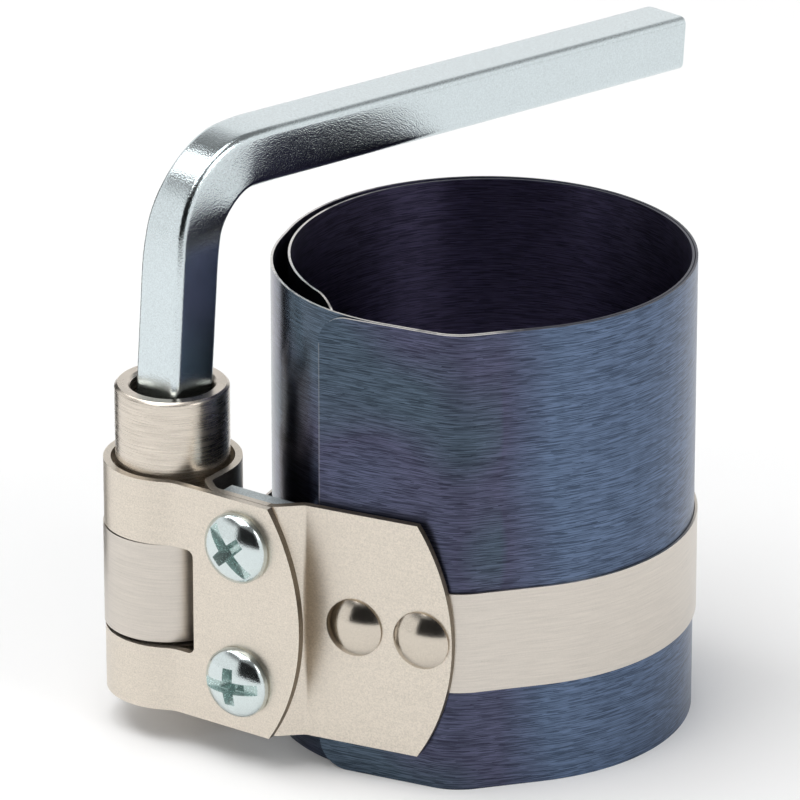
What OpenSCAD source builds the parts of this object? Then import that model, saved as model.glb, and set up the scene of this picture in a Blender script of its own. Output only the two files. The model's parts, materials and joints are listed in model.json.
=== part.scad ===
// Piston ring compressor: a rolled spring-steel sleeve, drawn tight by a steel band that a
// square key winds onto a drum. Units are millimetres. The sleeve stands on z = 0 with its
// axis on Z, the riveted plate faces -Y and the drum stands at -X.

/* [Sleeve] */
// Bore of the sleeve as it is closed here
bore_d = 65.8; // [63:0.2:70]
// Height of the sleeve
sleeve_h = 80; // [74:1:88]
// Thickness of the spring-steel sheet
sleeve_t = 0.4; // [0.3:0.05:0.5]
// Play between two laps of the sheet
lap_play = 0.15; // [0.15:0.05:0.25]
// How far the outer lap's axis sits off the gripping lap's axis
lap_offset = 0.6; // [0.4:0.1:0.8]
// How far the loose lap sits off the outer lap's axis, towards the drum
lap_shift_x = 2.8; // [2.5:0.1:3.1]
// How far the loose lap sits off the outer lap's axis, towards the front
lap_shift_y = 4.4; // [4.1:0.1:4.7]
// How much tighter the loose lap is bent than the outer lap
lap_tuck = 3.3; // [3:0.1:3.6]
// Where the inner end of the sheet lies, in degrees from +X seen from above
inner_end_a = 245; // [238:1:252]
// Rounding of the sheet's corners
sheet_corner_r = 5; // [3:0.5:7]
// Length of the outer end's flat to the left of the axis
flat_left = 14; // [12.5:0.5:15.5]
// Turn of the sheet where the flat front meets the round
front_turn = 40; // [37:1:43]
// Bend radius of that turn
front_turn_r = 10; // [8:0.5:12]

/* [Band] */
// Width of the tension band
band_w = 17.5; // [15:0.5:18]
// Thickness of the tension band
band_t = 0.45; // [0.35:0.05:0.5]
// Radius of the band's loose outer turn in the barrel
loose_turn_r = 10.6; // [10.5:0.05:10.6]
// How far that turn bulges out of the barrel's window
loose_turn_shift = 1; // [0.75:0.05:1]

/* [Clamp] */
// Height of the clamp strip
clamp_h = 41; // [38:1:44]
// Thickness of the clamp strip
clamp_t = 1.25; // [1:0.05:1.5]
// Height of the clamp's middle above the lower rim
clamp_z = 26.4; // [24:0.1:30]
// Riveted plate to the left of the sleeve's axis
plate_left = 15.9; // [15.5:0.1:17]
// Riveted plate to the right of the sleeve's axis
plate_right = 10.6; // [10.1:0.1:13]
// Slant of the step between the plate and the flap
jog_a = 33; // [29:1:37]
// Length of that step
jog_len = 5.2; // [4.6:0.1:5.8]
// Slant of the flap, back towards the drum
flap_a = 10; // [8:0.5:12]
// From the drum's axis to the step, along the flap
barrel_reach = 25.8; // [25.2:0.1:28]
// From the drum's axis to the tip of the flap
flap_reach = 32.2; // [29.5:0.1:33]
// Radius of the arched ends of flap and plate
arched_end_r = 37; // [34:1:50]
// Outer diameter of the barrel that the strip is rolled into
barrel_d = 23; // [22.9:0.1:23.4]
// How far the barrel swells in front of the flap
barrel_swell = 2; // [1.5:0.1:2.5]
// Height of the window cut in the barrel
window_h = 18.5; // [18.2:0.1:20]
// From the drum's axis to the window's end, along the flap
window_reach = 10.9; // [9:0.1:11.5]
// Thickness of the threaded nut plate
nut_t = 3.2; // [2.5:0.1:4]

/* [Drum] */
// Outer diameter of the drum's neck
drum_d = 19; // [17.5:0.1:19]
// Height of the neck above the clamp
drum_rise = 13; // [10:0.5:18]
// Chamfer of the neck's two edges
neck_chamfer = 0.5; // [0.2:0.1:0.8]
// Diameter of the drum's round mouth
mouth_d = 13.8; // [13.6:0.1:14.4]
// Diameter of the spool under the coil
spool_d = 14; // [13:0.1:14.2]
// Turns of band on the spool, in half turns
coil_half_turns = 7; // [3:2:7]

/* [Key] */
// Width of the square key across its flats
key_af = 9.5; // [9:0.1:9.6]
// Rounding of the bar's edges
key_edge_r = 1.3; // [1:0.1:1.8]
// Length of the arm from the leg's middle
key_arm = 119; // [90:1:140]
// Height of the arm's middle above the drum's mouth
key_rise = 36.9; // [30:0.1:60]
// Depth of the leg in the drum
key_sunk = 15; // [12:0.5:15]
// Bend radius of the bar's middle line
key_bend_r = 11.5; // [8:0.5:16]
// Lean of the loose key towards its arm
key_lean = 4.5; // [0:0.1:4.5]
// Direction of the arm, in degrees from +X seen from above
key_turn = 72; // [0:1:360]
// Play of the key in its square socket, on each side
socket_play = 0.7; // [0.7:0.05:0.8]

/* [Fasteners] */
// Thread diameter of the clamp screws
screw_d = 6; // [5:0.5:6.5]
// Head diameter of the clamp screws
screw_head_d = 12; // [11:0.5:12.5]
// Height of the screw heads
screw_head_h = 3.6; // [3:0.1:4.2]
// From the flap's upper and lower edge to its screws
screw_inset = 8.5; // [8:0.25:9.5]
// From the drum's axis to the screws, along the flap
screw_reach = 20.2; // [18.8:0.1:20.6]
// Turn of the upper screw's slot
upper_slot_a = -48; // [-90:1:90]
// Turn of the lower screw's slot
lower_slot_a = 4; // [-90:1:90]
// How far rivets and screws sit above the clamp's middle
fastener_rise = 0.5; // [-0.5:0.1:0.5]
// Shank diameter of the rivets
rivet_d = 5; // [4:0.1:5.5]
// Head diameter of the rivets
rivet_head_d = 10.3; // [9:0.1:11]
// Height of the rivet heads
rivet_head_h = 2.1; // [1.5:0.1:2.6]
// Spacing of the two rivets
rivet_gap = 12; // [11.5:0.1:12.5]
// Middle of the two rivets to the left of the sleeve's axis
rivet_mid = 0.8; // [0.6:0.1:1.9]

/* [Hidden] */
$fn = 96;
run_play = 0.07;
hole_play = 0.1;
touch_play = 0.02;
weld = 0.1;
seam = 0.004;
corner_ease = 0.02;
lap_step = sleeve_t + lap_play;

// Middle radii and axes of the sheet: the inner lap grips, the outer lap touches it at the
// back right, and the loose lap leads one into the other round the front left
inner_r = bore_d / 2 + sleeve_t / 2;
touch_a = 40;
outer_r = inner_r + lap_step + lap_offset;
outer_c = -polar(lap_offset, touch_a);
loose_r = outer_r - lap_tuck;
loose_c = outer_c - [lap_shift_x, lap_shift_y];
flat_y = loose_r + lap_step - loose_c.y;

// Tension band: on the outer lap, flat behind the plate, then off to the drum
band_r = outer_r + sleeve_t / 2 + hole_play + band_t / 2;
band_y = flat_y + sleeve_t / 2 + hole_play + band_t / 2;
plate_y = band_y + band_t / 2 + clamp_t / 2;

// Clamp strip in the drum's own frame, whose X runs along the flap and whose -Y faces out
barrel_r = barrel_d / 2 - clamp_t / 2;
flap_y = barrel_r - barrel_swell;
back_y = flap_y - clamp_t - hole_play;
swell_r = 6 + clamp_t / 2;
swell_a = acos((flap_y + swell_r) / (barrel_r + swell_r));
bend_r = 1.5 + clamp_t / 2;
neck_r = 1 + clamp_t / 2;
neck_y = back_y - 2.4;
ramp_a = 40;
flap_turn_a = jog_a + flap_a;
jog_corner = [-plate_left - jog_len * cos(jog_a), -plate_y - jog_len * sin(jog_a)];
drum_c = jog_corner - turned([barrel_reach, -back_y], -flap_a);
ramp_foot = [barrel_r + (back_y - neck_y) / tan(ramp_a), -back_y];
window_a0 = 12;
window_corner_r = 1.3;

// Drum, coil and key
clamp_top = clamp_z + clamp_h / 2;
drum_top = clamp_top + drum_rise;
collar_r = barrel_d / 2 - clamp_t - run_play;
collar_drop = 2.5;
drum_foot = clamp_z - clamp_h / 2 + 1;
spool_h = window_h;
coil_pitch = band_t + 0.05;
coil_r = spool_d / 2 + hole_play / 2 + band_t / 2;
slot_w = band_t + 2 * hole_play;
socket_af = key_af + 2 * socket_play;
key_pivot = drum_top - 0.53 * key_sunk;
key_foot = key_pivot - drum_top + key_sunk;
socket_floor = key_pivot - key_foot * cos(key_lean) - key_af / 2 * sin(key_lean) - touch_play;
socket_top = key_pivot + 0.5;
loose_turn_a = 175;
loose_turn_c = drum_c + loose_turn_shift * [cos(loose_turn_a), sin(loose_turn_a)];
loose_turn_end = 60;
band_way = loose_turn_c - outer_c;
band_leave_a = heading(band_way) + 360 - acos((band_r + loose_turn_r) / norm(band_way));

// Fasteners
nut_y = back_y - clamp_t / 2;
nut_left = ramp_foot.x + bend_r * tan(ramp_a / 2) + 0.2;
nut_right = barrel_reach - bend_r * tan(flap_turn_a / 2) - 0.3;
nut_h = clamp_h - 0.8;
screw_gap = clamp_h - 2 * screw_inset;
screw_l = 2 * clamp_t + hole_play + nut_t + 1;
screw_core_d = screw_d - 2 * run_play;
rivet_xs = [-rivet_mid - rivet_gap / 2, -rivet_mid + rivet_gap / 2];
rivet_l = clamp_t + band_t + hole_play + sleeve_t;
fastener_z = clamp_z + fastener_rise;

// A plane point turned about the origin, and the heading of a vector
function turned(p, a) = [p.x * cos(a) - p.y * sin(a), p.x * sin(a) + p.y * cos(a)];
function heading(v) = atan2(v.y, v.x);
function polar(r, a) = r * [cos(a), sin(a)];

// A point of the drum's frame in the part's frame
function from_drum(p) = drum_c + turned(p, -flap_a);

// How far right of a round's axis the front turn's centre lies, for a flat so far below it
function turn_x(round_r, drop, turn_r) =
    (round_r - turn_r - (drop - turn_r) * cos(front_turn)) / sin(front_turn);

// Turn of a route at one of its inner points, in degrees, positive to the left
function turn_at(route, i) =
    (heading(route[i + 1] - route[i]) - heading(route[i] - route[i - 1]) + 540) % 360 - 180;

// Straight run of upright sheet between two plane points. It is a hair slimmer than the
// arcs at its ends and let a little into them, so that the stretches join cleanly
module run(p, q, t, h, slim = seam) {
    translate([p.x, p.y, slim - h / 2])
        rotate([0, 0, heading(q - p)])
            translate([-weld, slim - t / 2, 0])
                cube([norm(q - p) + 2 * weld, t - 2 * slim, h - 2 * slim]);
}

// Arc of upright sheet about a plane point, from one angle to another
module arc(c, r, from_a, to_a, t, h, slim = 0) {
    translate([c.x, c.y, 0])
        rotate([0, 0, from_a])
            rotate_extrude(angle = to_a - from_a)
                translate([r - t / 2 + slim, slim - h / 2])
                    square([t - 2 * slim, h - 2 * slim]);
}

// Upright strip along a route of plane points, bent to its own radius at each inner point
module bent_strip(route, radii, t, h) {
    last = len(route) - 1;
    for (i = [1:last]) {
        way = heading(route[i] - route[i - 1]);
        turn_a = i < last ? turn_at(route, i) : 0;
        cut_in = i > 1 ? radii[i - 2] * tan(abs(turn_at(route, i - 1)) / 2) : 0;
        cut_out = i < last ? radii[i - 1] * tan(abs(turn_a) / 2) : 0;
        bend = route[i] - polar(cut_out, way);
        run(route[i - 1] + polar(cut_in, way), bend, t, h);
        if (i < last) {
            side = sign(turn_a);
            start_a = way - side * 90 + min(turn_a, 0);
            bend_c = bend + side * polar(radii[i - 1], way + 90);
            arc(bend_c, radii[i - 1], start_a, start_a + abs(turn_a), t, h);
        }
    }
}

// Front stretch of sheet: flat from the left, the turn, and the slant up to the outer round
module front_run(left_x, round_r, front_y, turn_r, t, h) {
    c = [outer_c.x + turn_x(round_r, front_y + outer_c.y, turn_r), turn_r - front_y];
    run([weld - left_x, -front_y], [c.x, -front_y], t, h);
    arc(c, turn_r, -90, front_turn - 90, t, h);
    run(c + polar(turn_r, front_turn - 90), outer_c + polar(round_r, front_turn - 90), t, h);
}

// What a sheet loses at the two corners of an end: sheet lies towards -X, the end at X = 0
module corner_waste(r, h, depth) {
    for (side = [-1, 1])
        translate([corner_ease - r, 0, side * (h / 2 - r + corner_ease)])
            difference() {
                translate([0, -depth / 2, side > 0 ? 0 : -r - 1])
                    cube([r + 1, depth, r + 1]);
                rotate([90, 0, 0])
                    cylinder(r = r, h = depth + 2, center = true);
            }
}

// Spherical cap on z = 0
module dome(d, h) {
    ball_r = (d * d / 4 + h * h) / (2 * h);
    rotate_extrude()
        intersection() {
            translate([0, h - ball_r])
                circle(ball_r);
            square([d, h]);
        }
}

// Square with rounded corners
module rounded_square(af, r) {
    square([af, af - 2 * r], center = true);
    square([af - 2 * r, af], center = true);
    for (x = [-1, 1], y = [-1, 1])
        translate([x, y] * (af / 2 - r))
            circle(r);
}

// Places children in the drum's frame, at the clamp's mid height
module at_drum() {
    translate([drum_c.x, drum_c.y, clamp_z])
        rotate([0, 0, -flap_a])
            children();
}

// Places children on a rivet's or screw's axis, with +Z out of the face at -Y
module facing_out(p) {
    translate([p.x, -p.y, p.z])
        rotate([90, 0, 0])
            children();
}

// Shank holes of both rivets, through the riveted stack and down to the next lap of the sheet
module rivet_holes() {
    for (x = rivet_xs)
        facing_out([x, flat_y - lap_step + sleeve_t / 2 + touch_play, fastener_z])
            cylinder(d = rivet_d + hole_play, h = rivet_l + 1);
}

// Sleeve: one sheet of blued spring steel, about two turns, outer end riveted to the plate
module sleeve() {
    loose_way = loose_c - outer_c;
    leave_a = heading(loose_way) + 360 - acos((outer_r - loose_r) / norm(loose_way));
    touch_weld = weld / inner_r * 180 / PI;
    color("#33405c")
        difference() {
            translate([0, 0, sleeve_h / 2]) {
                front_run(flat_left, outer_r, flat_y, front_turn_r, sleeve_t, sleeve_h);
                arc(outer_c, outer_r, front_turn - 90, leave_a, sleeve_t, sleeve_h);
                run(
                    outer_c + polar(outer_r, leave_a), loose_c + polar(loose_r, leave_a),
                    sleeve_t, sleeve_h
                );
                arc(loose_c, loose_r, leave_a, 270, sleeve_t, sleeve_h);
                front_run(
                    weld - loose_c.x, outer_r - lap_step, flat_y - lap_step, front_turn_r - lap_step,
                    sleeve_t, sleeve_h
                );
                arc(outer_c, outer_r - lap_step, front_turn - 90, touch_a, sleeve_t, sleeve_h);
                arc([0, 0], inner_r, touch_a - touch_weld, inner_end_a, sleeve_t, sleeve_h, seam);
            }
            translate([-flat_left, -flat_y, sleeve_h / 2])
                rotate([0, 0, 180])
                    corner_waste(sheet_corner_r, sleeve_h, 1);
            rotate([0, 0, inner_end_a])
                translate([inner_r, 0, sleeve_h / 2])
                    rotate([0, 0, 90])
                        corner_waste(sheet_corner_r, sleeve_h, 2);
            rivet_holes();
        }
}

// Tension band: riveted behind the plate, round the sleeve and once loosely round the coil
module tension_band() {
    turn_r = front_turn_r + band_y - flat_y;
    color("#cfc7be")
        difference() {
            translate([0, 0, clamp_z]) {
                front_run(flat_left - 1, band_r, band_y, turn_r, band_t, band_w);
                arc(outer_c, band_r, front_turn - 90, band_leave_a, band_t, band_w);
                run(
                    outer_c + polar(band_r, band_leave_a), loose_turn_c - polar(loose_turn_r, band_leave_a),
                    band_t, band_w
                );
                arc(
                    loose_turn_c, loose_turn_r, band_leave_a - 180 + loose_turn_end, band_leave_a + 180,
                    band_t, band_w
                );
            }
            rivet_holes();
        }
}

// Wound end of the band: half turns about two centres, and a tongue in the spool's slot
module band_coil() {
    color("#c9c1b7")
        translate([drum_c.x, drum_c.y, clamp_z]) {
            for (i = [0:coil_half_turns - 1]) {
                from_a = 180 * (i % 2);
                half_c = [i % 2 * coil_pitch / 2, 0];
                arc(half_c, coil_r + i * coil_pitch / 2, from_a, from_a + 180, band_t, band_w);
            }
            run([spool_d / 4, 0], [coil_r + band_t / 2, 0], band_t, band_w);
        }
}

// Clamp body: one nickel-plated strip, from the flap round the barrel and back to the plate
module clamp_body() {
    swell_c = polar(barrel_r + swell_r, swell_a - 90);
    swell_weld = weld / swell_r * 180 / PI;
    route = [
        from_drum([barrel_r, 0]), from_drum([barrel_r, -neck_y]), from_drum(ramp_foot),
        jog_corner, [-plate_left, -plate_y], [plate_right, -plate_y]
    ];
    color("#dad0c2")
        difference() {
            union() {
                at_drum() {
                    arc([0, 0], barrel_r, 0, 270 + swell_a, clamp_t, clamp_h);
                    arc(swell_c, swell_r, 90, 90 + swell_a + swell_weld, clamp_t, clamp_h, seam);
                    run([swell_c.x, -flap_y], [flap_reach, -flap_y], clamp_t, clamp_h, 2 * seam);
                }
                translate([0, 0, clamp_z])
                    bent_strip(route, [neck_r, bend_r, bend_r, bend_r], clamp_t, clamp_h);
            }
            at_drum()
                translate([flap_reach, -flap_y, 0])
                    arch_waste();
            translate([plate_right, -plate_y, clamp_z])
                arch_waste();
            at_drum() {
                barrel_window();
                for (side = [-1, 1])
                    facing_out([screw_reach, nut_y - 1, fastener_rise + side * screw_gap / 2])
                        cylinder(d = screw_d + 4 * hole_play, h = 3 * clamp_t + 1);
            }
            rivet_holes();
        }
}

// What the clamp strip loses at an arched end, whose tip is at X = 0
module arch_waste() {
    waste_l = arched_end_r - sqrt(arched_end_r * arched_end_r - clamp_h * clamp_h / 4) + 1;
    waste_t = clamp_t + hole_play;
    difference() {
        translate([-waste_l, -waste_t / 2, -clamp_h / 2 - 1])
            cube([waste_l + 1, waste_t, clamp_h + 2]);
        translate([-arched_end_r, 0, 0])
            rotate([90, 0, 0])
                cylinder(r = arched_end_r, h = 2 * waste_t, center = true, $fn = 180);
    }
}

// Window through which the band enters the barrel and its coil swells, rounded at the flap
module barrel_window() {
    cut_t = clamp_t + 2;
    front = barrel_d / 2 + 1;
    arc([0, 0], barrel_r, window_a0, 271, cut_t, window_h, seam);
    difference() {
        translate([0, -front, -window_h / 2])
            cube([window_reach, front - back_y, window_h]);
        translate([window_reach, -front, 0])
            corner_waste(window_corner_r, window_h, 2 * front);
    }
}

// Nut plate: zinc-plated bar behind the strip, tapped for both screws, bevelled at the step
module nut_plate() {
    bevel = nut_t / tan(flap_turn_a);
    color("#9aa5a8")
        at_drum()
            difference() {
                translate([0, 0, -nut_h / 2])
                    linear_extrude(nut_h)
                        polygon([
                            [nut_left, -nut_y], [nut_right, -nut_y],
                            [nut_right + bevel, nut_t - nut_y], [nut_left, nut_t - nut_y]
                        ]);
                for (side = [-1, 1])
                    facing_out([screw_reach, nut_y - nut_t - 1, fastener_rise + side * screw_gap / 2])
                        cylinder(d = screw_d, h = nut_t + 2);
            }
}

// Winding drum: neck with the key's socket, two friction collars and the slotted spool
module winding_drum() {
    collar_top = clamp_top - collar_drop;
    spool_z = clamp_z - spool_h / 2;
    color("#c9bfb2")
        translate([drum_c.x, drum_c.y, 0])
            difference() {
                union() {
                    translate([0, 0, drum_foot])
                        cylinder(r = collar_r, h = spool_z - drum_foot);
                    translate([0, 0, spool_z])
                        cylinder(d = spool_d, h = spool_h);
                    translate([0, 0, spool_z + spool_h])
                        cylinder(r = collar_r, h = collar_top - spool_z - spool_h);
                    translate([0, 0, collar_top])
                        cylinder(d = drum_d, h = drum_top - neck_chamfer - collar_top);
                    translate([0, 0, drum_top - neck_chamfer])
                        cylinder(d1 = drum_d, d2 = drum_d - 2 * neck_chamfer, h = neck_chamfer);
                }
                translate([0, 0, socket_top])
                    cylinder(d = mouth_d, h = drum_top - socket_top + 1);
                translate([0, 0, drum_top - neck_chamfer])
                    cylinder(d1 = mouth_d, d2 = mouth_d + 2 * neck_chamfer, h = neck_chamfer);
                translate([0, 0, socket_floor])
                    rotate([0, 0, key_turn])
                        linear_extrude(socket_top - socket_floor + 1)
                            rounded_square(socket_af, key_edge_r);
                translate([0, -slot_w / 2, spool_z])
                    cube([spool_d, slot_w, spool_h]);
            }
}

// Square key: bright zinc-plated square bar bent to an L, standing loosely in the socket
module square_key() {
    arm_z = drum_top - key_pivot + key_rise;
    color("#d5dedf")
        translate([drum_c.x, drum_c.y, key_pivot])
            rotate([0, 0, key_turn])
                rotate([0, key_lean, 0]) {
                    translate([0, 0, -key_foot])
                        linear_extrude(key_foot + arm_z - key_bend_r)
                            rounded_square(key_af, key_edge_r);
                    translate([key_bend_r, 0, arm_z - key_bend_r])
                        rotate([-90, 0, 0])
                            rotate([0, 0, 180])
                                rotate_extrude(angle = 90)
                                    translate([key_bend_r, 0])
                                        rounded_square(key_af, key_edge_r);
                    translate([key_bend_r, 0, arm_z])
                        rotate([0, 90, 0])
                            linear_extrude(key_arm - key_bend_r)
                                rounded_square(key_af, key_edge_r);
                }
}

// Clamp screw: domed head with a slot crossed by a short arm, seated on the flap
module clamp_screw(side, slot_a) {
    rim_h = screw_head_h / 3;
    slot_d = screw_head_h / 2;
    color("#b9c4c6")
        at_drum()
            facing_out([screw_reach, flap_y + clamp_t / 2, fastener_rise + side * screw_gap / 2]) {
                translate([0, 0, -screw_l])
                    cylinder(d = screw_core_d, h = screw_l);
                difference() {
                    union() {
                        cylinder(d = screw_head_d, h = rim_h);
                        translate([0, 0, rim_h])
                            dome(screw_head_d, screw_head_h - rim_h);
                    }
                    rotate([0, 0, slot_a])
                        translate([0, 0, screw_head_h]) {
                            cube([screw_head_d, screw_head_d / 8, 2 * slot_d], center = true);
                            cube([screw_head_d / 6, screw_head_d / 2, 2 * slot_d], center = true);
                        }
                }
            }
}

module upper_clamp_screw() {
    clamp_screw(1, upper_slot_a);
}

module lower_clamp_screw() {
    clamp_screw(-1, lower_slot_a);
}

// Rivet: polished domed head on the plate, shank through plate, band and sheet
module rivet(x) {
    color("#c8beaf")
        facing_out([x, plate_y + clamp_t / 2, fastener_z]) {
            dome(rivet_head_d, rivet_head_h);
            translate([0, 0, -rivet_l])
                cylinder(d = rivet_d, h = rivet_l);
        }
}

module left_rivet() {
    rivet(rivet_xs[0]);
}

module right_rivet() {
    rivet(rivet_xs[1]);
}

sleeve();
tension_band();
band_coil();
clamp_body();
nut_plate();
winding_drum();
square_key();
upper_clamp_screw();
lower_clamp_screw();
left_rivet();
right_rivet();
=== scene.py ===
import json
import math

import bpy
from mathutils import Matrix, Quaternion, Vector


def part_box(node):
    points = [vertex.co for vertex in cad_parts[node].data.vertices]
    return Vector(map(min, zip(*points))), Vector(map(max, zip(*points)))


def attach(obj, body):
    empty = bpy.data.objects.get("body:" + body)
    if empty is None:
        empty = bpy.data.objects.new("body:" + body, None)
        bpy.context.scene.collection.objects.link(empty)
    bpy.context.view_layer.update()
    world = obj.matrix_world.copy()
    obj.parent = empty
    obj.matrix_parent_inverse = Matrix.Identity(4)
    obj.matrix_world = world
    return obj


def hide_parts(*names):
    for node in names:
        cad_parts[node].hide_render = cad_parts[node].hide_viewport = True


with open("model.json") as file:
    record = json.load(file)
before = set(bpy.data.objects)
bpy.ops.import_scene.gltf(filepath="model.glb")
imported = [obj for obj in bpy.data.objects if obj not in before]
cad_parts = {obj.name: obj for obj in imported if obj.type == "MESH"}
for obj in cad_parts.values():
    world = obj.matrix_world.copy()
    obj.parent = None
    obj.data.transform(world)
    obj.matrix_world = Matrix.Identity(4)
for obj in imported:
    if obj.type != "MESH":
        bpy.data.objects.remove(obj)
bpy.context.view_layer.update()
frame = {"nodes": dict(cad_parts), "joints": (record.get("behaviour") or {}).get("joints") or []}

# Sleeve
# One strip of spring steel, cold rolled, blued in a furnace and coiled to about two turns.
# Its outer end is riveted to the clamp's plate, and its sheared edges are bare, bright steel.
MM = 0.001


def linear(code):
    """Linear RGBA of an sRGB hex colour."""
    parts = [int(code[i:i + 2], 16) / 255 for i in (1, 3, 5)]
    return [c / 12.92 if c <= 0.04045 else ((c + 0.055) / 1.055) ** 2.4 for c in parts] + [1.0]


def add(tree, kind, feeds=None, **settings):
    """Adds a shader node with its settings, each input fed by a value or by another node's socket."""
    node = tree.nodes.new(kind)
    for name, value in settings.items():
        setattr(node, name, value)
    for name, value in (feeds or {}).items():
        if isinstance(value, bpy.types.NodeSocket):
            tree.links.new(value, node.inputs[name])
        else:
            node.inputs[name].default_value = value
    return node


def new_finish(name):
    """A node material with nothing in it yet, and its node tree."""
    finish = bpy.data.materials.new(name)
    finish.use_nodes = True
    finish.node_tree.nodes.clear()
    return finish, finish.node_tree


def dress(piece, finish):
    """Puts a finish in every material slot of a piece."""
    if not piece.material_slots:
        piece.data.materials.append(finish)
    for slot in piece.material_slots:
        slot.material = finish


def blued_steel():
    # Blue oxide on rolled steel: a dim mirror, teal to violet and blue, that level rolling lines
    # smear upright. The sheet is a little buckled, burnished where the outer lap slides over it, and
    # bare along the worn edges in front, with a painted highlight beside the outer lap's end. The lines
    # are drawn coarser than they are, or they would not show.
    line_len, line_w, line_contrast = 2.6 * MM, 0.1 * MM, 0.45
    tint_size, tint_share, blue_from_x, blue_at_x, blue_shift = 26 * MM, 0.5, 16 * MM, 24 * MM, 0.5
    oxide_tints = ((0.2, "#495664"), (0.28, "#4c4e63"), (0.7, "#55647c"))
    inside_tint = linear("#5b5672")
    scuff_size, worn_side, worn_reach, edge_facing = 9 * MM, (0.7, 0.7, 0), 20 * MM, 0.6
    edge_tones = ((0.38, "#4c4d57"), (0.55, "#d3d0cd"))
    # The outer lap's end, and the width and strength of the painted highlight beside it
    lap_x, lap_w, lap_highlight_share, half_h, corner_r = -14 * MM, 0.2 * MM, 0.16, 40 * MM, 5 * MM
    slide_end_y, rough, burnish = 15 * MM, 0.33, 0.13
    buckle_size, buckle_h = 14 * MM, 0.15 * MM
    finish, tree = new_finish("blued_spring_steel")
    place = add(tree, "ShaderNodeTexCoord").outputs["Object"]
    across = add(tree, "ShaderNodeSeparateXYZ", {0: place})

    # Which faces look outwards, inwards or along the sheet's edge
    facing = add(tree, "ShaderNodeNewGeometry").outputs["Normal"]
    outward = add(tree, "ShaderNodeVectorMath", {0: place, 1: (1, 1, 0)}, operation="MULTIPLY")
    outward = add(tree, "ShaderNodeVectorMath", {0: outward.outputs[0]}, operation="NORMALIZE")
    broad = add(tree, "ShaderNodeVectorMath", {0: facing, 1: outward.outputs[0]}, operation="DOT_PRODUCT")
    inside = add(tree, "ShaderNodeMath", {0: broad.outputs["Value"], 1: 0.0}, operation="LESS_THAN")
    level = add(tree, "ShaderNodeMath", {0: broad.outputs["Value"]}, operation="ABSOLUTE")
    edge = add(tree, "ShaderNodeMath", {0: level.outputs[0], 1: edge_facing}, operation="LESS_THAN")

    # Oxide tints, bluer to the right, with the rolling lines over them
    tint = add(tree, "ShaderNodeTexNoise", {"Vector": place, "Scale": 1 / tint_size, "Detail": 1.0})
    drift = add(tree, "ShaderNodeMapRange", {
        "Value": across.outputs["X"], "From Min": blue_from_x, "From Max": blue_at_x,
        "To Min": 0.0, "To Max": blue_shift,
    })
    heat = add(tree, "ShaderNodeMath", {
        0: tint.outputs["Fac"], 1: tint_share, 2: drift.outputs[0],
    }, operation="MULTIPLY_ADD")
    hue = add(tree, "ShaderNodeValToRGB", {"Fac": heat.outputs[0]})
    hue.color_ramp.elements.new(oxide_tints[1][0])
    for stop, (position, code) in zip(hue.color_ramp.elements, oxide_tints):
        stop.position, stop.color = position, linear(code)
    oxide = add(tree, "ShaderNodeMix", {
        "Factor": inside.outputs[0], "A": hue.outputs["Color"], "B": inside_tint,
    }, data_type="RGBA")
    along = add(tree, "ShaderNodeMapping", {
        "Vector": place, "Scale": (1 / line_len, 1 / line_len, 1 / line_w),
    })
    lines = add(tree, "ShaderNodeTexVoronoi", {"Vector": along.outputs[0], "Scale": 1.0})
    shade = add(tree, "ShaderNodeMapRange", {
        "Value": lines.outputs["Color"], "From Min": 0.2, "From Max": 0.8,
        "To Min": 1 - line_contrast, "To Max": 1 + line_contrast,
    })
    blue = add(tree, "ShaderNodeVectorMath", {
        0: oxide.outputs["Result"], "Scale": shade.outputs[0],
    }, operation="SCALE")

    # Bare steel along the edges, brighter in front, where it is handled
    side = add(tree, "ShaderNodeVectorMath", {0: place, 1: worn_side}, operation="DOT_PRODUCT")
    front = add(tree, "ShaderNodeMapRange", {
        "Value": side.outputs["Value"], "From Min": 0.0, "From Max": -worn_reach,
        "To Min": -0.25, "To Max": 0.15,
    })
    scuff = add(tree, "ShaderNodeTexNoise", {"Vector": place, "Scale": 1 / scuff_size, "Detail": 3.0})
    wear = add(tree, "ShaderNodeMath", {0: scuff.outputs["Fac"], 1: front.outputs[0]}, operation="ADD")
    bare = add(tree, "ShaderNodeValToRGB", {"Fac": wear.outputs[0]})
    for stop, (position, code) in zip(bare.color_ramp.elements, edge_tones):
        stop.position, stop.color = position, linear(code)

    # A painted highlight, a faint bright line beside the outer lap's end, and smoother steel where that
    # lap slides
    ahead = add(tree, "ShaderNodeMapRange", {
        "Value": across.outputs["Y"], "From Min": slide_end_y, "From Max": 0.0,
    })
    outer = add(tree, "ShaderNodeMath", {
        0: ahead.outputs[0], 1: inside.outputs[0],
    }, operation="SUBTRACT", use_clamp=True)
    beside = add(tree, "ShaderNodeMath", {0: across.outputs["X"], 1: lap_x, 2: lap_w}, operation="COMPARE")
    upright = add(tree, "ShaderNodeMath", {
        0: across.outputs["Z"], 1: half_h, 2: half_h - corner_r,
    }, operation="COMPARE")
    lap_highlight = add(tree, "ShaderNodeMath", {0: beside.outputs[0], 1: upright.outputs[0]}, operation="MULTIPLY")
    lap_highlight = add(tree, "ShaderNodeMath", {0: lap_highlight.outputs[0], 1: outer.outputs[0]}, operation="MULTIPLY")
    slid = add(tree, "ShaderNodeMath", {0: across.outputs["X"], 1: lap_x}, operation="LESS_THAN")
    slid = add(tree, "ShaderNodeMath", {0: slid.outputs[0], 1: outer.outputs[0]}, operation="MULTIPLY")
    dull = add(tree, "ShaderNodeMath", {
        0: slid.outputs[0], 1: -burnish, 2: rough,
    }, operation="MULTIPLY_ADD")
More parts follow.
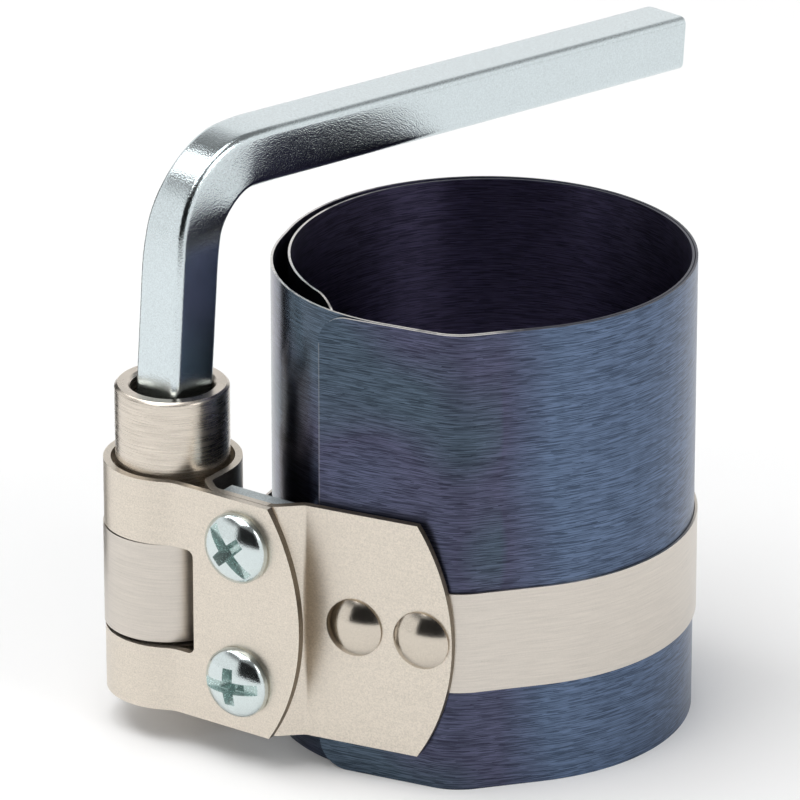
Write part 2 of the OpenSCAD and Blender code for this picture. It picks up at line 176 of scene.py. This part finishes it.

    # The steel itself, a mirror smeared upright and a little buckled, its colour mixed with bare edge
    # steel and with the painted highlight beside the lap's end
    # Bare edges and the painted highlight beside the lap's end, over the blue oxide
    bare_and_highlight = add(tree, "ShaderNodeMath", {
        0: lap_highlight.outputs[0], 1: lap_highlight_share, 2: edge.outputs[0],
    }, operation="MULTIPLY_ADD", use_clamp=True)
    colour = add(tree, "ShaderNodeMix", {
        "Factor": bare_and_highlight.outputs[0], "A": blue.outputs[0], "B": bare.outputs["Color"],
    }, data_type="RGBA")
    buckle = add(tree, "ShaderNodeTexNoise", {"Vector": place, "Scale": 1 / buckle_size, "Detail": 1.0})
    swell = add(tree, "ShaderNodeBump", {
        "Height": buckle.outputs["Fac"], "Strength": 1.0, "Distance": buckle_h,
    })
    around = add(tree, "ShaderNodeTangent", direction_type="RADIAL", axis="Z")
    steel = add(tree, "ShaderNodeBsdfPrincipled", {
        "Base Color": colour.outputs["Result"], "Metallic": 1.0, "Roughness": dull.outputs[0],
        "Anisotropic": 0.85, "Anisotropic Rotation": 0.25, "Tangent": around.outputs[0],
        "Normal": swell.outputs[0],
    })
    add(tree, "ShaderNodeOutputMaterial", {"Surface": steel.outputs[0]})
    return finish


dress(frame["nodes"]["sleeve"], blued_steel())


# Tension band
# Bright spring-steel strip, riveted behind the plate, once round the sleeve and into the barrel,
# where its end is wound on the drum. Satin, with fine lines along it from rolling.
def plated(name, colour, rough, contrast, relief, speck=0.24 * MM, line_share=0.0, metallic=1.0):
    # Bright or plated metal: a pale mirror dulled by fine grain, or by level lines where it was drawn
    # or turned. Both are drawn coarser than they are, or they would not show.
    line_len, line_w, faint, strong, spread = 6 * MM, 0.25 * MM, 0.3, 0.7, 0.2
    finish, tree = new_finish(name)
    place = add(tree, "ShaderNodeTexCoord").outputs["Object"]
    along = add(tree, "ShaderNodeMapping", {
        "Vector": place, "Scale": (1 / line_len, 1 / line_len, 1 / line_w),
    })
    lines = add(tree, "ShaderNodeTexNoise", {"Vector": along.outputs[0], "Scale": 1.0, "Detail": 3.0})
    grain = add(tree, "ShaderNodeTexNoise", {"Vector": place, "Scale": 1 / speck, "Detail": 2.0})
    mark = add(tree, "ShaderNodeMix", {
        "Factor": line_share, "A": grain.outputs["Fac"], "B": lines.outputs["Fac"],
    }).outputs[0]
    shade = add(tree, "ShaderNodeMapRange", {
        "Value": mark, "From Min": faint, "From Max": strong,
        "To Min": 1 - contrast, "To Max": 1 + contrast / 2,
    })
    tone = add(tree, "ShaderNodeVectorMath", {
        0: linear(colour)[:3], "Scale": shade.outputs[0],
    }, operation="SCALE")
    dull = add(tree, "ShaderNodeMapRange", {
        "Value": mark, "From Min": faint, "From Max": strong,
        "To Min": (1 - spread) * rough, "To Max": (1 + spread) * rough,
    })
    bump = add(tree, "ShaderNodeBump", {"Height": mark, "Strength": 1.0, "Distance": relief})
    metal = add(tree, "ShaderNodeBsdfPrincipled", {
        "Base Color": tone.outputs[0], "Metallic": metallic,
        "Roughness": dull.outputs[0], "Normal": bump.outputs[0],
    })
    add(tree, "ShaderNodeOutputMaterial", {"Surface": metal.outputs[0]})
    return finish


band_steel = plated(
    "satin_band_steel", "#d0c9c0", rough=0.34, contrast=0.13, relief=0.006 * MM, line_share=0.7)
dress(frame["nodes"]["tension_band"], band_steel)
dress(frame["nodes"]["band_coil"], band_steel)


# Clamp body
# One strip of steel, rolled into the drum's barrel and bent to a flap and a plate with arched ends,
# nickel plated after stamping: a warm, soft mirror. Its edges are slightly rounded.
def copied(source, name):
    """A copy of an object with a mesh of its own, selected alone."""
    bpy.ops.object.select_all(action="DESELECT")
    piece = bpy.data.objects.new(name, source.data.copy())
    bpy.context.collection.objects.link(piece)
    bpy.context.view_layer.objects.active = piece
    piece.select_set(True)
    return piece


def smooth(piece, crease):
    """Shades the selected piece smooth up to its creases, and its flats flat."""
    bpy.ops.object.shade_smooth_by_angle(angle=crease)
    flats = piece.modifiers.new("flats", "WEIGHTED_NORMAL")
    flats.keep_sharp = True
    bpy.ops.object.modifier_apply(modifier=flats.name)


def eased(node_name, ease):
    """A copy of a CAD node with its sharp edges rounded, which stands for the node."""
    merge, flat, crease = 0.012 * MM, math.radians(0.5), math.radians(32)
    piece = copied(frame["nodes"][node_name], node_name + "_eased")
    bpy.ops.mesh.customdata_custom_splitnormals_clear()
    bpy.ops.object.mode_set(mode="EDIT")
    bpy.ops.mesh.select_all(action="SELECT")
    bpy.ops.mesh.remove_doubles(threshold=merge)
    bpy.ops.mesh.dissolve_limited(angle_limit=flat)
    bpy.ops.object.mode_set(mode="OBJECT")
    rounding = piece.modifiers.new("rounding", "BEVEL")
    rounding.width, rounding.segments = ease, 2
    rounding.limit_method, rounding.angle_limit = "ANGLE", crease
    bpy.ops.object.modifier_apply(modifier=rounding.name)
    smooth(piece, crease)
    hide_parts(node_name)
    return piece


flap_end_x, edge_facing = -23 * MM, 0.6
clamp = eased("clamp_body", 0.18 * MM)
dress(clamp, plated(
    "satin_nickel_plate", "#dcd3c6", rough=0.36, contrast=0.2, relief=0.006 * MM, line_share=0.2))
# Darker steel on the edges of the plate and the flap's end: torn steel that the plating covers thinly, and
# painted shade that darkens those edges further
clamp.data.materials.append(plated(
    "sheared_edge_painted_shade", "#877c6d", rough=0.42, contrast=0.3, relief=0.02 * MM))
# These edge faces take the darker colour, which is partly painted shade
for face in clamp.data.polygons:
    if face.center.x > flap_end_x and abs(face.normal.y) < edge_facing:
        face.material_index = 1
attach(clamp, "frame")

# Nut plate
# Steel bar behind the flap, tapped for both screws, which hold it there. Barrel zinc plated and
# left dull: a cool grey with coarse, uneven grain.
nut = eased("nut_plate", 0.25 * MM)
dress(nut, plated(
    "dull_zinc_plate", "#c3ccce", rough=0.35, contrast=0.4, relief=0.06 * MM, line_share=0.3))
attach(nut, "frame")


# Rivets
# Two domed steel rivets hold plate, band and sleeve together. Nickel plated, and polished by the
# cupped punch that sets them, so they mirror the room clearly.
def draw_out(x, y, z):
    """Extrudes what is selected by a step in mm."""
    bpy.ops.mesh.extrude_region_move(TRANSFORM_OT_translate={"value": (x * MM, y * MM, z * MM)})


def lathe(name, rings, sides=96):
    """A turned piece about Z, drawn out from ring to ring, each with a radius and a height in mm."""
    bpy.ops.object.select_all(action="DESELECT")
    bpy.ops.mesh.primitive_circle_add(
        vertices=sides, radius=rings[0][0] * MM, fill_type="NGON", location=(0, 0, rings[0][1] * MM))
    piece = bpy.context.active_object
    piece.name = name
    bpy.ops.object.transform_apply()
    bpy.ops.object.mode_set(mode="EDIT")
    bpy.ops.mesh.select_all(action="SELECT")
    for (r0, z0), (r1, z1) in zip(rings, rings[1:]):
        draw_out(0, 0, z1 - z0)
        bpy.ops.transform.resize(value=(r1 / r0, r1 / r0, 1))
    bpy.ops.mesh.select_all(action="SELECT")
    bpy.ops.mesh.normals_make_consistent(inside=False)
    bpy.ops.object.mode_set(mode="OBJECT")
    return piece


def dome(r, low, high, edge_a):
    """Rings of a domed head from its edge, which slopes by an angle, to near its top."""
    steps = 14
    slopes = [math.radians(edge_a) * k / steps for k in range(steps, 0, -1)]
    reach, foot = math.sin(slopes[0]), math.cos(slopes[0])
    rises = [(math.cos(a) - foot) / (1 - foot) for a in slopes]
    return [(r * math.sin(a) / reach, low + (high - low) * rise) for a, rise in zip(slopes, rises)]


def placed_copy(master, name, spot, out, turn=0):
    """A copy of a piece, its +Z turned to a direction and its foot set on a spot, both in its mesh."""
    piece = copied(master, name)
    aim = Vector(out).to_track_quat("Z", "Y") @ Quaternion((0, 0, 1), math.radians(turn))
    piece.rotation_euler = aim.to_euler()
    piece.location = spot
    bpy.ops.object.transform_apply()
    bpy.ops.object.shade_smooth_by_angle(angle=turned_crease)
    return piece


turned_crease = math.radians(40)
rivet_r, rivet_h, rivet_edge_a, lip, edge_ease, shank_r, shank_l = 4.9, 2.1, 50, 0.35, 0.3, 2.5, 2.2
rivet_rings = [(shank_r, -shank_l), (shank_r, 0), (rivet_r - edge_ease, 0), (rivet_r, edge_ease)]
rivet_master = lathe("rivet", rivet_rings + dome(rivet_r, lip, rivet_h, rivet_edge_a))
dress(rivet_master, plated(
    "polished_nickel_plate", "#cdc4b7", rough=0.18, contrast=0.1, relief=0.006 * MM))
for name in ("left_rivet", "right_rivet"):
    low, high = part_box(name)
    spot = ((low.x + high.x) / 2, low.y + rivet_h * MM, (low.z + high.z) / 2)
    rivet = placed_copy(rivet_master, name + "_turned", spot, (0, -1, 0))
    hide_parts(name)
    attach(rivet, "frame")
bpy.data.objects.remove(rivet_master)

# Winding drum
# Turned from steel bar, with a socket for the key and a slotted spool for the band, and held by the
# barrel. Nickel plated over the tool marks, which ring it with fine lines.
drum = eased("winding_drum", 0.15 * MM)
dress(drum, plated(
    "turned_nickel_plate", "#d6cdc1", rough=0.28, contrast=0.22, relief=0.012 * MM, line_share=0.85))
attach(drum, "drum")


# Square key
# Square steel bar bent cold to an L, sawn off and zinc plated, which stands loosely in the drum.
# Bright and bluish, with a fine grain that breaks up its reflections.
def pick(piece, test):
    """Enters edit mode with just those vertices selected whose place in mm passes a test."""
    bpy.ops.object.mode_set(mode="EDIT")
    bpy.ops.mesh.select_all(action="DESELECT")
    bpy.ops.object.mode_set(mode="OBJECT")
    for corner in piece.data.vertices:
        corner.select = test(corner.co / MM)
    bpy.ops.object.mode_set(mode="EDIT")


key_af, key_edge_r, foot, arm_z, bend_r, arm_l = 9.5, 1.3, 7.05, 44.85, 11.5, 119
key_lean, key_turn, key_rest_z = math.radians(4.5), math.radians(72), 51.95
burr, narrowing, thinning, bend_reach, key_crease = 0.4, 0.22, 0.8, 15, math.radians(40)
sawn, start_z, flat = 1 - 2 * burr / key_af, arm_z - bend_r, key_af - 2 * key_edge_r
beside_bend, slack = [2] * 6, 0.01
bpy.ops.object.select_all(action="DESELECT")
bpy.ops.mesh.primitive_plane_add(size=key_af * MM, location=(0, 0, -foot * MM))
key = bpy.context.active_object
key.name = "square_key_bent"
bpy.ops.object.transform_apply()
bpy.ops.object.mode_set(mode="EDIT")
bpy.ops.mesh.bevel(offset=key_edge_r * MM, segments=6, affect="VERTICES")
pick(key, lambda p: min(abs(p.x), abs(p.y)) < flat / 2 + slack)
bpy.ops.mesh.subdivide(number_cuts=5)
bpy.ops.mesh.select_all(action="SELECT")
bpy.ops.transform.resize(value=(sawn, sawn, 1))
draw_out(0, 0, burr)
bpy.ops.transform.resize(value=(1 / sawn, 1 / sawn, 1))
for step in [start_z + foot - burr - sum(beside_bend)] + beside_bend:
    draw_out(0, 0, step)
bpy.ops.mesh.spin(
    steps=30, angle=math.radians(90), center=(bend_r * MM, 0, start_z * MM), axis=(0, -1, 0))
for step in beside_bend + [arm_l - bend_r - sum(beside_bend) - burr]:
    draw_out(step, 0, 0)
draw_out(burr, 0, 0)
bpy.ops.transform.resize(value=(1, sawn, sawn))
bpy.ops.mesh.select_all(action="SELECT")
bpy.ops.mesh.remove_doubles(threshold=0.001 * MM)
bpy.ops.mesh.normals_make_consistent(inside=False)
bpy.ops.object.mode_set(mode="OBJECT")
# Bending draws the outside of the bend thin and narrow and swells its inside, and fades along the bar
for corner in key.data.vertices:
    place = corner.co / MM - Vector((bend_r, 0, start_z))
    past = max(place.x, -place.z, 0)
    out = Vector((min(place.x, 0), 0, max(place.z, 0))).normalized()
    height = (place.dot(out) - bend_r) / key_af
    away = (past + bend_r * out.angle(Vector((-1, 0, 1)))) / bend_reach
    strain = math.cos(math.pi / 2 * min(away, 1)) ** 2
    drawn = thinning * (height + 0.5) * out + Vector((0, 2 * narrowing * height * place.y, 0))
    corner.co -= strain * MM * drawn
drum_joint = next(j for j in frame["joints"] if j["name"] == "drum_turn")
key.rotation_euler = (0, key_lean, key_turn)
key.location = (drum_joint["pos_m"][0], drum_joint["pos_m"][1], key_rest_z * MM)
bpy.ops.object.transform_apply()
smooth(key, key_crease)
dress(key, plated(
    "bright_zinc_plate", "#d3dde0", rough=0.14, contrast=0.14, relief=0.04 * MM, speck=0.25 * MM))
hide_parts("square_key")
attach(key, "key")

# Clamp screws
# M6 pan-head steel screws with a slot and a cross in one recess, headed cold and zinc plated to a
# clear, bluish mirror. The passivation pools in the recess and tints it green.
head_r, head_h, rim_h, head_ease, head_edge_a = 6.0, 3.55, 1.1, 0.3, 80
thread_r, core_r, tip_r, tip_z, tip_l, pitch, turns = 2.9, 2.45, 2.0, -6.8, 0.7, 1.0, 6
proud, sliver = 0.1, 0.002
# Each punch's length, width and depth, the share of them that its foot keeps, and its turn
punches = ((13, 2.1, 1.5, 0.85, 0), (7.4, 2.2, 2.8, 0.35, 0), (7.4, 2.2, 2.8, 0.35, 90))
screw_rings = [(tip_r, tip_z), (thread_r, tip_z + tip_l)]
for step in range(turns):
    crest_z = tip_z + tip_l + (step + 1) * pitch
    screw_rings += [(core_r, crest_z - pitch / 2), (thread_r, crest_z)]
screw_rings += [(core_r, 0), (head_r - head_ease, 0), (head_r, head_ease)]
screw_master = lathe("screw", screw_rings + dome(head_r, rim_h, head_h, head_edge_a))
dress(screw_master, plated(
    "screw_zinc_plate", "#d2dcdc", rough=0.16, contrast=0.08, relief=0.012 * MM))
recess_zinc = plated(
    "passivated_recess_zinc", "#b9cecb", rough=0.24, contrast=0.25, relief=0.012 * MM, metallic=0.7)
for length, width, depth, draft, turn in punches:
    bpy.ops.object.select_all(action="DESELECT")
    bpy.ops.mesh.primitive_cube_add(
        size=1, location=(0, 0, (head_h - depth / 2 + proud) * MM), rotation=(0, 0, math.radians(turn)))
    punch = bpy.context.active_object
    punch.scale = (length * MM, width * MM, depth * MM)
    bpy.ops.object.transform_apply()
    dress(punch, recess_zinc)
    pick(punch, lambda p: p.z < head_h - depth / 2)
    bpy.ops.transform.resize(value=(draft, draft, 1))
    bpy.ops.object.mode_set(mode="OBJECT")
    recess = screw_master.modifiers.new("recess", "BOOLEAN")
    recess.object, recess.operation = punch, "DIFFERENCE"
    recess.solver, recess.material_mode = "EXACT", "TRANSFER"
    bpy.context.view_layer.objects.active = screw_master
    bpy.ops.object.modifier_apply(modifier=recess.name)
    bpy.data.objects.remove(punch)
bpy.ops.object.mode_set(mode="EDIT")
bpy.ops.mesh.select_all(action="SELECT")
bpy.ops.mesh.dissolve_degenerate(threshold=sliver * MM)
bpy.ops.object.mode_set(mode="OBJECT")
for side, slot_turn in (("upper", -48), ("lower", 4)):
    joint = next(j for j in frame["joints"] if j["name"] == side + "_screw_turn")
    screw = placed_copy(screw_master, side + "_screw_turned", joint["pos_m"], joint["axis"], slot_turn)
    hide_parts(side + "_clamp_screw")
    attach(screw, side + "_screw")
bpy.data.objects.remove(screw_master)


# Studio
# White paper, a white surround up to shoulder height and a dark room above. A large soft lamp hangs
# overhead, with one to the right and a small one to the left. Only reflections see two black flags.
def towards(bearing, rise):
    """The direction at a bearing from the front and a rise above level, in degrees."""
    turn, lift = math.radians(bearing), math.radians(rise)
    return Vector((math.sin(turn) * math.cos(lift), -math.cos(turn) * math.cos(lift), math.sin(lift)))


bpy.ops.object.select_all(action="DESELECT")
bpy.ops.mesh.primitive_plane_add(size=2.4)
floor = bpy.context.active_object
floor.name = "floor"
paper, tree = new_finish("white_paper")
sheet = add(tree, "ShaderNodeBsdfDiffuse", {"Color": linear("#f4f4f4")})
add(tree, "ShaderNodeOutputMaterial", {"Surface": sheet.outputs[0]})
dress(floor, paper)

velvet, tree = new_finish("black_velvet")
cloth = add(tree, "ShaderNodeBsdfDiffuse", {"Color": linear("#101010")})
add(tree, "ShaderNodeOutputMaterial", {"Surface": cloth.outputs[0]})
flags = (("front_flag", 14, 1.6, 2.5, 1.7), ("side_flag", -90, 0.107, 0.03, 0.11))
for name, bearing, reach, width, height in flags:
    bpy.ops.mesh.primitive_plane_add(
        size=1, location=reach * towards(bearing, 0) + Vector((0, 0, height / 2)),
        rotation=(math.radians(90), 0, math.radians(bearing)))
    flag = bpy.context.active_object
    flag.name = name
    flag.scale = (width, height, 1)
    dress(flag, velvet)
    flag.visible_camera = flag.visible_diffuse = flag.visible_shadow = False

lamps = (
    ("overhead_lamp", -50, 75, 1.6, 1.2, 17),
    ("right_lamp", 78, 42, 1.5, 0.6, 4),
    ("left_lamp", -95, 47, 1.5, 0.4, 2),
)
for name, bearing, rise, reach, size, power in lamps:
    spot = reach * towards(bearing, rise)
    bpy.ops.object.light_add(type="AREA", location=spot, rotation=spot.to_track_quat("Z", "Y").to_euler())
    lamp = bpy.context.active_object
    lamp.name = name
    lamp.data.size = size
    lamp.data.energy = power

dusk_from, dusk_to, room_light = 0.45, 0.68, 0.22
world = bpy.data.worlds.new("white_surround")
bpy.context.scene.world = world
world.use_nodes = True
tree = world.node_tree
tree.nodes.clear()
way = add(tree, "ShaderNodeSeparateXYZ", {0: add(tree, "ShaderNodeTexCoord").outputs["Generated"]})
dusk = add(tree, "ShaderNodeMapRange", {
    "Value": way.outputs["Z"], "From Min": dusk_from, "From Max": dusk_to,
    "To Min": 1.0, "To Max": room_light,
})
sky = add(tree, "ShaderNodeBackground", {"Color": (1, 1, 1, 1), "Strength": dusk.outputs[0]})
add(tree, "ShaderNodeOutputWorld", {"Surface": sky.outputs[0]})

# Camera
# The photograph's long lens, to the right of the plate and a little above.
target, distance = Vector((-13.476, -6.456, 53.681)) * MM, 1250 * MM
back = towards(bearing=25, rise=22.8)
bpy.ops.object.camera_add(location=target + distance * back)
camera = bpy.context.active_object
camera.rotation_euler = back.to_track_quat("Z", "Y").to_euler()
camera.data.sensor_width = 36
camera.data.lens = 340.9
bpy.context.scene.camera = camera
bpy.context.scene.view_settings.view_transform = "Standard"
